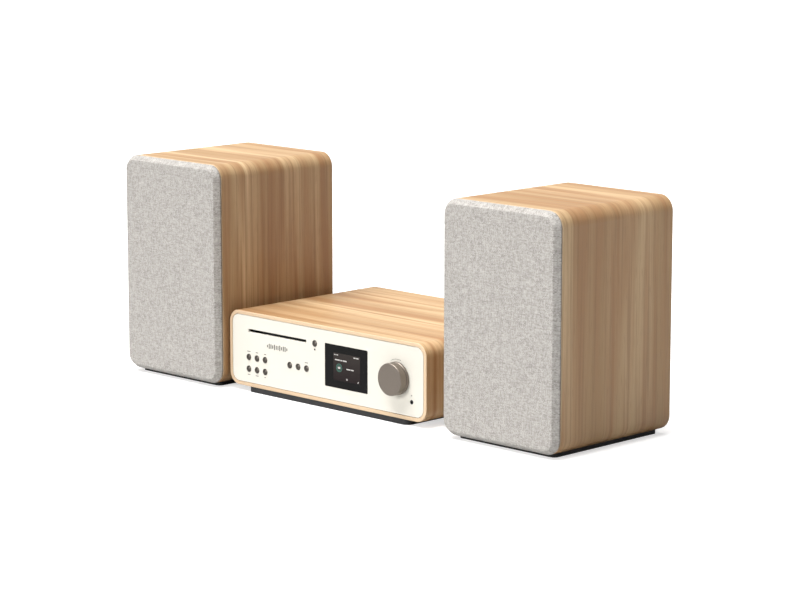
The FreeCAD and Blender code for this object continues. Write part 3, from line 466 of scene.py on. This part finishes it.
def anodised_knob():
    """Turned aluminium, anodised warm grey, with fine rings left by the tool."""
    low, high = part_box("volume_knob")
    material, shader, place = start_material("anodised_aluminium", "#827970", 0.42, Metallic=1.0)
    centred = add_node(material, "ShaderNodeMapping", {"Vector": place,
                       "Location": (-(low.x + high.x) / 2, 0, -(low.z + high.z) / 2)}).outputs[0]
    flat_place = add_node(material, "ShaderNodeVectorMath", {0: centred, 1: (1, 0, 1)},
                          operation="MULTIPLY").outputs[0]
    radius = add_node(material, "ShaderNodeVectorMath", {0: flat_place},
                      operation="LENGTH").outputs["Value"]
    depth = add_node(material, "ShaderNodeSeparateXYZ", {0: place}).outputs["Y"]
    rings = add_node(material, "ShaderNodeCombineXYZ", {"X": radius, "Y": depth}).outputs[0]
    turning = noise(material, rings, (0.5 * MM, 0.5 * MM, 1), 2.0)
    connect(material, spread(material, turning, 0.3, 0.7, 0.36, 0.50), shader, "Roughness")
    bump(material, shader, turning, 0.06, 0.0001)
    dress(material, "volume_knob")


anodised_knob()
black_abs = spark_plastic("moulded_black_abs", "#171718", 0.5)
# The player's plinth is black partly as painted shade: it also stands for the shadow on the floor under the
# player.
dress(black_abs, "unit_plinth", "left_plinth", "right_plinth", "headphone_socket", "mains_inlet",
      "left_terminals", "right_terminals", "speaker_outputs", "laser_sled", "disc_hub")
print("panel, pane,", len(BUTTONS), "buttons and knob are finished")

# %% [markdown]
# ## What shows on the screen
# The screen sits behind the pane and glows through it. Instead of cutting a clear window, the
# lit picture is a thin skin on the pane: a warm grey field, paler at the top as a painted
# glare, rows of small bars where writing would be, and a round symbol. It gives a little light
# of its own.

# %% The screen
pane_low, pane_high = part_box("display_window")
PANE_X = (pane_low.x + pane_high.x) / 2
PANE_Z = (pane_low.z + pane_high.z) / 2
PANE_Y = pane_low.y
SCREEN_WIDE = 56.0 * MM
SCREEN_TALL = 40.8 * MM
SCREEN_SHIFT = 1.3 * MM
SKIN = 0.05 * MM
SYMBOL_X = PANE_X - 14.6 * MM
SYMBOL_Z = PANE_Z - 1.3 * MM


def glow(name, base, light, strength):
    """A lit area: a dark base with its own light."""
    material, shader, place = start_material(name, base, 0.4, Specular_IOR_Level=0.1)
    shader.inputs["Emission Color"].default_value = colour(light)
    shader.inputs["Emission Strength"].default_value = strength
    return material, shader, place


screen_glow, screen_shader, screen_place = glow("lit_screen", "#0a0909", "#4a4542", 0.72)
# The glow is mixed paler towards the top of the screen, a painted glare on the pane, over random patches.
height = add_node(screen_glow, "ShaderNodeSeparateXYZ", {0: screen_place}).outputs["Z"]
glare_toward_top = spread(screen_glow, height, PANE_Z - SCREEN_TALL / 2, PANE_Z + SCREEN_TALL / 2, 0, 1)
patch = noise(screen_glow, screen_place, (16 * MM, 16 * MM, 16 * MM), 1.0)
uneven = add_node(screen_glow, "ShaderNodeMath", {0: patch, 1: 0.35, 2: glare_toward_top},
                  operation="MULTIPLY_ADD").outputs[0]
connect(screen_glow, mix(screen_glow, spread(screen_glow, uneven, 0.1, 1.2, 0, 1), "#2a1d1e", "#463f3b"),
        screen_shader, "Emission Color")

bm = bmesh.new()
made = add_block(bm, (PANE_X + SCREEN_SHIFT - SCREEN_WIDE / 2, PANE_Y - SKIN, PANE_Z - SCREEN_TALL / 2),
                 (PANE_X + SCREEN_SHIFT + SCREEN_WIDE / 2, PANE_Y, PANE_Z + SCREEN_TALL / 2))
bm.edges.index_update()
bevel(bm, edges_along(made, 1), 0.8 * MM, 3)
finish_piece("screen_picture", bm, "unit", screen_glow)

white_light, _, _ = glow("screen_white", "#202020", "#e6e2dd", 0.9)
teal_light, _, _ = glow("screen_teal", "#10201d", "#5f9484", 0.8)


def word_bars(bm, x, z, lengths, tall, gap=0.9 * MM):
    """A row of small bars that stand for words."""
    for length in lengths:
        add_mark(bm, x + length / 2, z, length, tall, PANE_Y - SKIN)
        x += length + gap


bm = bmesh.new()
word_bars(bm, PANE_X - 25.5 * MM, PANE_Z + 17.6 * MM, [2.2 * MM, 1.6 * MM, 3.0 * MM], 1.5 * MM)
word_bars(bm, PANE_X + 15.6 * MM, PANE_Z + 17.6 * MM, [4.6 * MM, 5.2 * MM], 1.7 * MM)
word_bars(bm, PANE_X - 23.5 * MM, PANE_Z + 10.2 * MM, [10.5 * MM, 4.0 * MM, 8.5 * MM], 1.8 * MM)
word_bars(bm, PANE_X + 0.6 * MM, PANE_Z - 1.4 * MM, [8.6 * MM, 6.0 * MM], 1.7 * MM)
add_turned(bm, (PANE_X + 1.8 * MM, PANE_Y - SKIN, PANE_Z - 17.0 * MM),
           [(0.7 * MM, -MARK_THICK), (1.5 * MM, -MARK_THICK), (1.5 * MM, 0), (0.7 * MM, 0)], 20)
add_mark(bm, PANE_X + 25.4 * MM, PANE_Z - 18.2 * MM, 3.4 * MM, 1.3 * MM, PANE_Y - SKIN, turn=-0.9)
add_mark(bm, SYMBOL_X, SYMBOL_Z, 5.4 * MM, 3.2 * MM, PANE_Y - SKIN - MARK_THICK)
finish_piece("screen_words", bm, "unit", white_light)

bm = bmesh.new()
for inner, outer in ((3.6, 4.3), (5.4, 6.2)):
    add_turned(bm, (SYMBOL_X, PANE_Y - SKIN, SYMBOL_Z),
               [(inner * MM, -MARK_THICK), (outer * MM, -MARK_THICK), (outer * MM, 0), (inner * MM, 0)], 40)
finish_piece("screen_symbol", bm, "unit", teal_light)
print("screen is", round(SCREEN_WIDE / MM, 1), "by", round(SCREEN_TALL / MM, 1), "mm")

# %% [markdown]
# ## Marks printed on the panel
# The panel is printed in warm grey. Seven of the buttons have a short bar, above the upper row
# and below the lower one. Small marks lie on an arc over the knob, each a little thicker than the
# one before, and one small mark is over the headphone socket. Where a maker would put a name
# there is a plain row of level bars, in a darker ink.

# %% Printed marks
PANEL_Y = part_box("front_panel")[0].y
ink, _, _ = start_material("printed_grey_ink", "#5e5a55", 0.6)
dark_ink, _, _ = start_material("printed_dark_ink", "#2a2826", 0.5)


def middle_of(node):
    low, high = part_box(node)
    return (low + high) / 2


LABEL_GAP = 8.8 * MM
LABEL_TALL = 1.1 * MM
JACK_MARK_RISE = 9.6 * MM
LABEL_WIDE = {"power_button": 7.5, "source_button": 5.5, "favourite_button": 4.5, "info_button": 6.0,
              "menu_button": 6.5, "back_button": 3.5, "next_button": 7.0}
bm = bmesh.new()
for name, wide in LABEL_WIDE.items():
    spot = middle_of(name)
    lower_row = name in ("info_button", "menu_button", "back_button")
    step = -LABEL_GAP if lower_row else LABEL_GAP
    add_mark(bm, spot.x, spot.z + step, wide * MM, LABEL_TALL, PANEL_Y)
knob_spot = middle_of("volume_knob")
jack_spot = middle_of("headphone_socket")
add_mark(bm, jack_spot.x, jack_spot.z + JACK_MARK_RISE, 2.2 * MM, 1.8 * MM, PANEL_Y)
KNOB_MARK_RADIUS = 27.6 * MM
KNOB_MARKS = 9
KNOB_MARK_FIRST = -27
KNOB_MARK_STEP = 5.0
for number in range(KNOB_MARKS):
    lean = math.radians(KNOB_MARK_FIRST + KNOB_MARK_STEP * number)
    add_mark(bm, knob_spot.x + KNOB_MARK_RADIUS * math.sin(lean),
             knob_spot.z + KNOB_MARK_RADIUS * math.cos(lean),
             1.7 * MM, (0.6 + 0.06 * number) * MM, PANEL_Y, turn=lean)
finish_piece("printed_labels", bm, "unit", ink)

LEVEL_BARS = 12
LEVEL_STEP = 3.9 * MM
LEVEL_MIDDLE = Vector((-103.9, 0, 76.6)) * MM
unit_middle = middle_of("unit_cabinet").x
bm = bmesh.new()
for number in range(LEVEL_BARS):
    tall = (4.0 + 4.6 * abs(math.sin(number * 1.15))) * MM
    along = (number - (LEVEL_BARS - 1) / 2) * LEVEL_STEP
    add_mark(bm, unit_middle + LEVEL_MIDDLE.x + along, LEVEL_MIDDLE.z, 1.9 * MM, tall, PANEL_Y)
finish_piece("printed_level_bars", bm, "unit", dark_ink)
print("printed marks are", LEVEL_BARS, "level bars and", len(LABEL_WIDE), "labels")

# %% [markdown]
# ## Back
# The back is zinc-plated steel and the sockets are nickel-plated. Each audio socket has a white
# or a red collar, so that leads go to the right place.

# %% Back
zinc = plain_metal("zinc_plated_steel", "#8f9092", 0.38, (6 * MM, 1.5 * MM, 1.5 * MM))
dress(zinc, "base_tray", "rear_panel", "deck_frame", "encoder_body", "encoder_shaft", "lead_screw",
      "deck_motors")
nickel = plain_metal("nickel_plate", "#b9b3a6", 0.2)
dress(nickel, "rear_sockets")
COLLAR_RIM = 1.45 * MM
COLLAR_SKIN = 0.05 * MM
REAR_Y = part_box("rear_panel")[1].y
COLLAR_HEIGHT = 1.0 * MM
COLLAR_DEEP = COLLAR_HEIGHT + COLLAR_SKIN
collar_white = spark_plastic("moulded_white_abs", "#d9d8d4", 0.4)
collar_red = spark_plastic("moulded_red_abs", "#a3201c", 0.4)
barrels = [m for m in frame["record"]["mounts"] if m["name"].startswith("phono_barrel")]
for number, barrel in enumerate(barrels):
    radius = barrel["dims"]["r_mm"] * MM
    spot = Vector((barrel["pos_m"][0], REAR_Y, barrel["pos_m"][2]))
    bm = bmesh.new()
    add_turned(bm, spot, [(radius + COLLAR_SKIN, 0), (radius + COLLAR_RIM, 0),
                          (radius + COLLAR_RIM, COLLAR_DEEP), (radius + COLLAR_SKIN, COLLAR_DEEP)], 32)
    plastic = collar_red if number % 2 else collar_white
    collar = finish_piece("audio_collar_%d" % (number + 1), bm, "unit", plastic, 30)
print("collars on", len(barrels), "audio sockets")

# %% [markdown]
# ## Screws, boards and drive units
# These pieces show only when the set is open, but each has the finish of the real thing: dark
# screws, a bare aluminium heatsink, green boards, rubber surrounds and cones of black paper pulp.

# %% Screws, boards and drive units
dark_steel = plain_metal("black_zinc_steel", "#3a3a3c", 0.35)
dress(dark_steel, "unit_screws", "left_screws", "right_screws")
bare = plain_metal("extruded_aluminium", "#c2c3c5", 0.33, (1 * MM, 1 * MM, 20 * MM))
dress(bare, "heatsink")
rubber = spark_plastic("moulded_rubber", "#131314", 0.62, 0.8 * MM)
dress(rubber, "loading_roller", "left_woofer_surround", "right_woofer_surround")
board = spark_plastic("solder_masked_board", "#1c4a2c", 0.3, 1.0 * MM)
dress(board, "front_board", "main_board", "power_board", "left_crossover", "right_crossover")
smoked = spark_plastic("smoked_lens", "#1a1614", 0.12, 2.0 * MM, 0.01)
dress(smoked, "status_lens", "display_module")
painted_board = spark_plastic("painted_fibreboard", "#1d1c1b", 0.7, 1.2 * MM, 0.2)
dress(painted_board, "left_baffle", "right_baffle", "left_grille_frame", "right_grille_frame")
basket = spark_plastic("painted_steel", "#161617", 0.4, 0.6 * MM)
dress(basket, "left_woofer_frame", "right_woofer_frame", "left_tweeter", "right_tweeter")
paper = spark_plastic("coated_paper_pulp", "#2b2a2a", 0.75, 1.6 * MM, 0.35)
dress(paper, "left_woofer_cone", "right_woofer_cone")
print("every piece has a finish")
